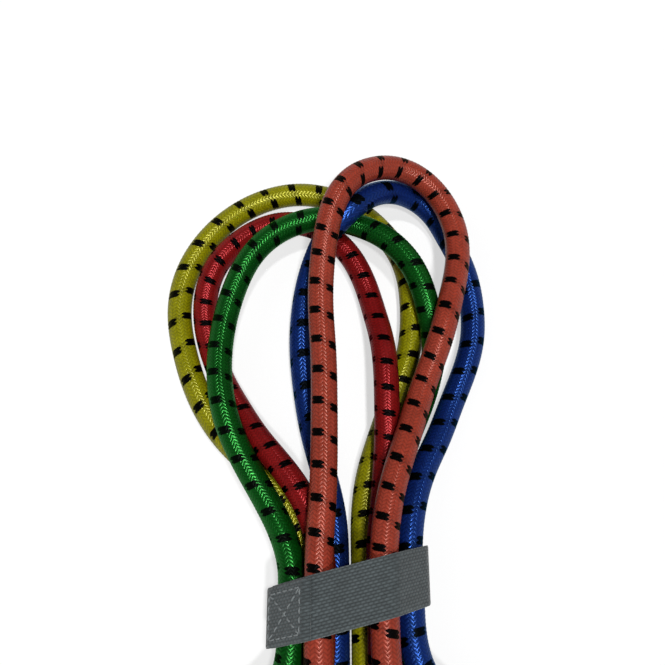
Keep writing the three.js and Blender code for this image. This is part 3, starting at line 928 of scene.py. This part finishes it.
def thread_rings(starts, ends):
    """Each stitch is a few rings of points round a line that arches from cloth to cloth over the lap."""
    share = np.linspace(0, 1, THREAD_RINGS)[:, None]
    places = starts[:, None] * (1 - share) + ends[:, None] * share
    lift = np.sin(math.pi * share) * THREAD_ARCH - THREAD_SINK
    face = read_line(outward, strap_run, places[..., 0])
    flat = read_line(outline, strap_run, places[..., 0]) + face * (LAP_BASE + STRAP_THICKNESS + lift)
    line = np.stack([flat[..., 0], places[..., 1] + STRAP_SLANT * flat[..., 0], flat[..., 1]], axis=-1)
    up = np.stack([face[..., 0], 0 * face[..., 0], face[..., 1]], axis=-1)
    side = np.cross(unit(np.gradient(line, axis=1)), up)
    spokes = spoke(round_angles(THREAD_SIDES), up[:, :, None], side[:, :, None])
    return line[:, :, None] + THREAD_RADIUS * spokes


def thread_finish():
    """Twisted sewing thread: a shade lighter than the strap, with a fine uneven gloss."""
    thread = Finish("sewing_thread", 0.5, Specular_IOR_Level=0.4, Sheen_Weight=0.2)
    twist = thread.speckle(2500, 1.0)
    thread.set("Base Color", thread.blend(twist, THREAD_DARK, THREAD_PALE))
    thread.relief(twist, THREAD_RELIEF)
    return thread.material


rings = thread_rings(stitch_starts, stitch_ends)
faces = np.concatenate([ring_faces(THREAD_RINGS, THREAD_SIDES), THREAD_END_FACES])
faces = faces + np.arange(len(rings))[:, None, None] * THREAD_RINGS * THREAD_SIDES
lap_stitches = mesh_piece("lap_stitches", rings, faces.reshape(-1, 4).tolist())
lap_stitches.data.materials.append(thread_finish())
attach(lap_stitches, "bundle")
print("thread faces:", len(lap_stitches.data.polygons))

# %% [markdown]
# ## The hooks
#
# A hook is one length of spring wire: four turns round the cord, a bend out to the side, a straight shank
# past the ferrule, a half circle and a short return. Bending a curve object would do, but the wire stands
# upright in its coil and lies flat in its hook, so a tube needs a steady sideways direction all along. Here
# that direction is chosen on purpose: away from the cord in the coil, then turned slowly to +Z along the
# straight shank.

# %% Coil of one hook, in the leg's own frame
COIL_RADIUS = 0.0074
COIL_TURNS = 4.25
COIL_PITCH = 0.0041
COIL_END = 0.0874
COIL_END_ANGLE = math.radians(-40)
COIL_POINTS = 150


def coil_wire():
    """A helix that ends at its end angle, and the direction away from the cord at each of its points."""
    angle = COIL_END_ANGLE - np.linspace(COIL_TURNS, 0, COIL_POINTS) * 2 * math.pi
    ray = np.stack([np.cos(angle), np.zeros_like(angle), np.sin(angle)], axis=1)
    coil = COIL_RADIUS * ray
    coil[:, 1] = COIL_END + (angle - COIL_END_ANGLE) / (2 * math.pi) * COIL_PITCH
    return coil, ray


coil, coil_ray = coil_wire()
print("coil: %.0f mm of wire" % (line_length(coil) * 1000))

# %% Wire of one hook
SHANK_ASIDE = 0.008787
SHANK_START = 0.0944
HOOK_CENTRE = 0.11255
HOOK_RADIUS = 0.0095
WIRE_TIP = 0.10455
TIP_ASIDE = SHANK_ASIDE - 2 * HOOK_RADIUS
LEAD_PULL = 0.0035
LEAD_POINTS = 15
SHANK_POINTS = 16
BEND_POINTS = 40
TIP_POINTS = 5


def flat_wire(aside, ahead):
    """Points in the flat of the hook, from how far aside and how far along the leg they lie."""
    return np.stack([aside + 0 * ahead, ahead, 0 * ahead], axis=1)


def hook_wire():
    """The wire's middle line and its sideways direction.

    A cubic lead-out, a straight shank, a half circle and a straight return follow the coil.
    """
    shank = np.array([SHANK_ASIDE, SHANK_START, 0])
    leaving = coil[-1] + LEAD_PULL * unit(coil[-1] - coil[-2])
    s = np.linspace(0, 1, LEAD_POINTS + 1)[1:, None]
    lead = (1 - s) ** 3 * coil[-1] + 3 * s * (1 - s) ** 2 * leaving
    lead += 3 * s ** 2 * (1 - s) * (shank - [0, LEAD_PULL, 0]) + s ** 3 * shank
    lead_ray = coil_ray[-1] * (1 - s) + np.array([1.0, 0, 0]) * s
    rise = np.linspace(0, 1, SHANK_POINTS + 2)[1:-1]
    straight = flat_wire(SHANK_ASIDE, SHANK_START + rise * (HOOK_CENTRE - SHANK_START))
    quarter = rise * math.pi / 2
    straight_ray = np.stack([np.cos(quarter), 0 * rise, np.sin(quarter)], axis=1)
    bend = np.linspace(0, math.pi, BEND_POINTS)
    aside = SHANK_ASIDE - HOOK_RADIUS + HOOK_RADIUS * np.cos(bend)
    turn = flat_wire(aside, HOOK_CENTRE + HOOK_RADIUS * np.sin(bend))
    tip = flat_wire(TIP_ASIDE, np.linspace(HOOK_CENTRE, WIRE_TIP, TIP_POINTS + 1)[1:])
    flat_ray = np.tile([0, 0, 1.0], (BEND_POINTS + TIP_POINTS, 1))
    line = np.concatenate([coil, lead, straight, turn, tip])
    return line, np.concatenate([coil_ray, lead_ray, straight_ray, flat_ray])


hook_line, hook_aside = hook_wire()
print("hook wire: %.0f mm" % (line_length(hook_line) * 1000))

# %% Rings of the wire
WIRE_RADIUS = 0.00175
WIRE_SIDES = 18
CUT_END_SHARE = 0.78
CUT_END_REACH = 0.0005


def wire_grid(line, aside):
    """Rings of the wire's radius round its line, drawn in a little at both cut ends."""
    along = unit(np.gradient(line, axis=0))
    up = unit(aside - along * (along * aside).sum(axis=1, keepdims=True))
    side = np.cross(along, up)
    run = line_run(line)
    near = np.clip(np.minimum(run, run[-1] - run) / CUT_END_REACH, 0, 1)
    radius = WIRE_RADIUS * (CUT_END_SHARE + (1 - CUT_END_SHARE) * near)
    spokes = spoke(round_angles(WIRE_SIDES), up[:, None], side[:, None])
    return line[:, None] + radius[:, None, None] * spokes


hook_grid = wire_grid(hook_line, hook_aside)
print("hook: %d rings of %d points" % hook_grid.shape[:2])

# %% [markdown]
# ## Ferrules and tip caps
#
# A ferrule is a short metal cup pressed over the cord's end, with a ring of dents where the crimping tool
# bit. A tip cap is a soft vinyl thimble. Both are turned shapes: a profile of radius and height, spun about
# a line. The ferrule's radius also dips with the angle, which a plain lathe could not do.

# %% Turned shapes: radius and height in millimetres
FERRULE_WALL = [
    95.0, 95.4, 95.7, 96.0, 96.3, 96.6, 97.0, 97.4, 97.8, 98.2, 98.5, 98.8, 99.1, 99.4, 99.7, 100.1,
]
FERRULE_PROFILE = np.array([
    (4.9, 97.5), (5.1, 95.0), (5.12, 93.9), (5.25, 93.5), (5.55, 93.3), (5.95, 93.3), (6.3, 93.5),
    (6.48, 93.9), (6.4, 94.3), (6.2, 94.6), *((6.16, height) for height in FERRULE_WALL), (6.18, 100.6),
    (6.2, 101.2), (6.05, 101.8), (5.7, 102.2), (5.2, 102.42), (4.4, 102.5), (3.2, 102.5), (3.0, 102.44),
    (2.8, 102.3), (1.5, 102.28), (0.3, 102.28),
])
CAP_PROFILE = np.array([
    (0.25, 103.5), (0.9, 103.52), (1.5, 103.64), (2.05, 103.9), (2.5, 104.32), (2.8, 104.85), (2.92, 105.4),
    (2.9, 106.2), (2.86, 107.2), (2.85, 108.2), (2.88, 109.0), (2.95, 109.4), (2.96, 109.8), (2.85, 110.1),
    (2.6, 110.23), (2.25, 110.2), (2.05, 110.0), (1.95, 109.4), (1.9, 108.6),
])
FERRULE_SIDES = 64
CAP_SIDES = 32
CRIMP_DENTS = 6
CRIMP_PLACE = 0.0977
CRIMP_SPREAD = 0.0013
CRIMP_DEPTH = 0.00055
CRIMP_FROM_RADIUS = 0.006
CRIMP_FULL_AFTER = 0.00016


def turned_grid(profile, sides):
    """Each profile point becomes a ring round the leg's outward axis, from up towards across."""
    angle = round_angles(sides)
    radius = profile[:, :1] / 1000
    height = profile[:, 1:] / 1000 + 0 * angle
    return np.stack([radius * np.sin(angle), height, radius * np.cos(angle)], axis=-1)


def crimped(grid):
    """A ring of dents: each presses the outer wall in by a bell-shaped amount, along it and round it."""
    angle = np.arctan2(grid[..., 0], grid[..., 2])
    radius = np.hypot(grid[..., 0], grid[..., 2])
    wave = 0.5 + 0.5 * np.cos(CRIMP_DENTS * angle)
    dent = wave ** 3 * np.exp(-((grid[..., 1] - CRIMP_PLACE) / CRIMP_SPREAD) ** 2)
    outer = np.clip((radius - CRIMP_FROM_RADIUS) / CRIMP_FULL_AFTER, 0, 1)
    squeeze = 1 - CRIMP_DEPTH * dent * outer / radius
    return np.stack([grid[..., 0] * squeeze, grid[..., 1], grid[..., 2] * squeeze], axis=-1)


ferrule_grid = crimped(turned_grid(FERRULE_PROFILE, FERRULE_SIDES))
cap_grid = turned_grid(CAP_PROFILE, CAP_SIDES) + [TIP_ASIDE, 0, 0]
print("ferrule rings:", len(FERRULE_PROFILE), "cap rings:", len(CAP_PROFILE))

# %% [markdown]
# ## Metal and vinyl
#
# The wire and the ferrules are plated with zinc, which is bright but never a clean mirror: it has faint
# clouds, dull spots and a fine grain. The vinyl of the caps is nearly black with a fine dull grain. All
# three read the object's own coordinates.

# %% Finishes of the fittings
PLATE_GRAIN_RELIEF = 0.00002
VINYL_GRAIN_RELIEF = 0.00005
VINYL_BLACK = (0.012, 0.012, 0.013)
VINYL_SCUFFED = (0.035, 0.035, 0.036)


def plated_finish(name, colour, dull, roughness):
    """Plated steel: clouds move the colour and the gloss a little, and fine grains lift the surface."""
    plate = Finish(name, roughness, Metallic=1.0)
    clouds = plate.speckle(260, 4.0)
    grains = plate.speckle(2600, 2.0)
    plate.set("Base Color", plate.blend(clouds.ease(0.35, 0.7), colour, dull))
    plate.set("Roughness", clouds * 0.22 + grains * 0.12 + (roughness - 0.17))
    plate.relief(grains, PLATE_GRAIN_RELIEF)
    return plate.material


def vinyl_finish():
    """Dipped vinyl: almost black, with a soft grain and scuffed paler spots."""
    vinyl = Finish("tip_vinyl", 0.55, Specular_IOR_Level=0.45)
    grain = vinyl.speckle(1800, 3.0)
    scuffs = vinyl.speckle(320, 4.0).ease(0.58, 0.74)
    vinyl.set("Base Color", vinyl.blend(scuffs, VINYL_BLACK, VINYL_SCUFFED))
    vinyl.set("Roughness", grain.between(0.42, 0.67))
    vinyl.relief(grain, VINYL_GRAIN_RELIEF)
    return vinyl.material


wire_plate = plated_finish("hook_wire_zinc", (0.50, 0.51, 0.52), (0.37, 0.37, 0.365), 0.3)
ferrule_plate = plated_finish("ferrule_zinc", (0.42, 0.42, 0.415), (0.30, 0.30, 0.29), 0.4)
tip_vinyl = vinyl_finish()
print("finishes:", wire_plate.name, ferrule_plate.name, tip_vinyl.name)

# %% Fittings of the ten legs
FITTINGS = (
    ("hook", hook_grid, wire_plate, "hook_wire", "_swivel_hook"),
    ("ferrule", ferrule_grid, ferrule_plate, "ferrule", "_end"),
    ("tip_cap", cap_grid, tip_vinyl, "tip_cap", "_swivel_hook"),
)
for leg in FAN_ORDER:
    for kind, grid, finish, slot, body in FITTINGS:
        fitting = tube_piece(leg + "_" + kind + "_look", fan_points(leg, grid))
        fitting.data.materials.append(finish)
        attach(fitting, leg + body)
        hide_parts(leg + "_" + kind)
print("fittings:", len(FAN_ORDER) * len(FITTINGS))

# %% [markdown]
# ## Floor, light and backdrop
#
# The photograph is cut out on white, so the floor is a plain pale sheet that looks white to the camera and
# still takes the cords' soft shadow. Two small far lamps, one overhead and one beside the camera, draw the
# thin bright line of stitches along level and rising stretches, and a broad soft one on the left fills the
# shade. The sky is pale at the sides and darker overhead, so that the plated wire shows both. Floor and sky
# are dimmer in a reflection than to the camera, so that the edges of the cords keep their own colour.

# %% Floor
FLOOR_HALF = 6.0
FLOOR_DROP = 0.0001
FLOOR_GREY = 0.36
FLOOR_GLOW = 0.6
FLOOR_IN_GLOSS = 0.4


def seen_share(tree, in_gloss):
    """1 for what the camera sees, straight or through something clear, less in a reflection, otherwise 0."""
    rays = tree.nodes.new("ShaderNodeLightPath")
    seen = Strand(tree, rays.outputs["Is Camera Ray"])
    seen = seen.step("MAXIMUM", Strand(tree, rays.outputs["Is Glossy Ray"]) * in_gloss)
    return seen.step("MAXIMUM", Strand(tree, rays.outputs["Is Transmission Ray"]))


def floor_finish():
    """A pale matt sheet that also glows a little where it is seen, so that it looks white."""
    sheet = Finish("pale_floor", 0.9, Specular_IOR_Level=0.1)
    sheet.set("Base Color", (FLOOR_GREY, FLOOR_GREY, FLOOR_GREY, 1))
    sheet.set("Emission Color", (1, 1, 1, 1))
    sheet.set("Emission Strength", seen_share(sheet.tree, FLOOR_IN_GLOSS) * FLOOR_GLOW)
    return sheet.material


floor_corners = np.array([(-1, -1, 0), (1, -1, 0), (1, 1, 0), (-1, 1, 0)]) * FLOOR_HALF - [0, 0, FLOOR_DROP]
studio_floor = mesh_piece("studio_floor", floor_corners, [(0, 1, 2, 3)])
studio_floor.data.materials.append(floor_finish())
print("floor %.0f m wide" % (2 * FLOOR_HALF))

# %% Lamps: name, direction, softness in degrees, power, gloss
LAMPS = (
    ("overhead", (0.14, 0, 1), 5, 1.55, True),
    ("beside_camera", (0.14, -0.48, 1), 5, 1.75, True),
    ("soft_left", (-0.7, -0.1, 0.7), 50, 0.4, False),
)


def far_lamp(name, place, softness, power, gleams):
    """Even light from far away, from the direction of a place; one that doesn't gleam leaves no gloss."""
    data = bpy.data.lights.new(name, "SUN")
    data.angle = math.radians(softness)
    data.energy = power
    lamp = bpy.data.objects.new(name, data)
    lamp.rotation_euler = (-Vector(place)).to_track_quat("-Z", "Y").to_euler()
    lamp.visible_glossy = gleams
    bpy.context.collection.objects.link(lamp)


for lamp in LAMPS:
    far_lamp(*lamp)
print(len(LAMPS), "lamps")

# %% Backdrop
SKY_FILL = 0.1
SKY_OVERHEAD = 0.18
SKY_IN_GLOSS = 0.6

studio = bpy.data.worlds.new("studio")
bpy.context.scene.world = studio
studio.use_nodes = True
sky_tree = studio.node_tree
sky = sky_tree.nodes["Background"]
sky.inputs["Color"].default_value = (1, 1, 1, 1)
toward = sky_tree.nodes.new("ShaderNodeTexCoord")
split = sky_tree.nodes.new("ShaderNodeSeparateXYZ")
sky_tree.links.new(toward.outputs["Generated"], split.inputs[0])
brightness = Strand(sky_tree, split.outputs[2]).ease(0.15, 0.6, 1.0, SKY_OVERHEAD)
feed(sky.inputs["Strength"], seen_share(sky_tree, SKY_IN_GLOSS).between(SKY_FILL, brightness))
bpy.context.scene.view_settings.view_transform = "Standard"
print("a pale backdrop, at %.0f %% of white overhead" % (SKY_OVERHEAD * 100))
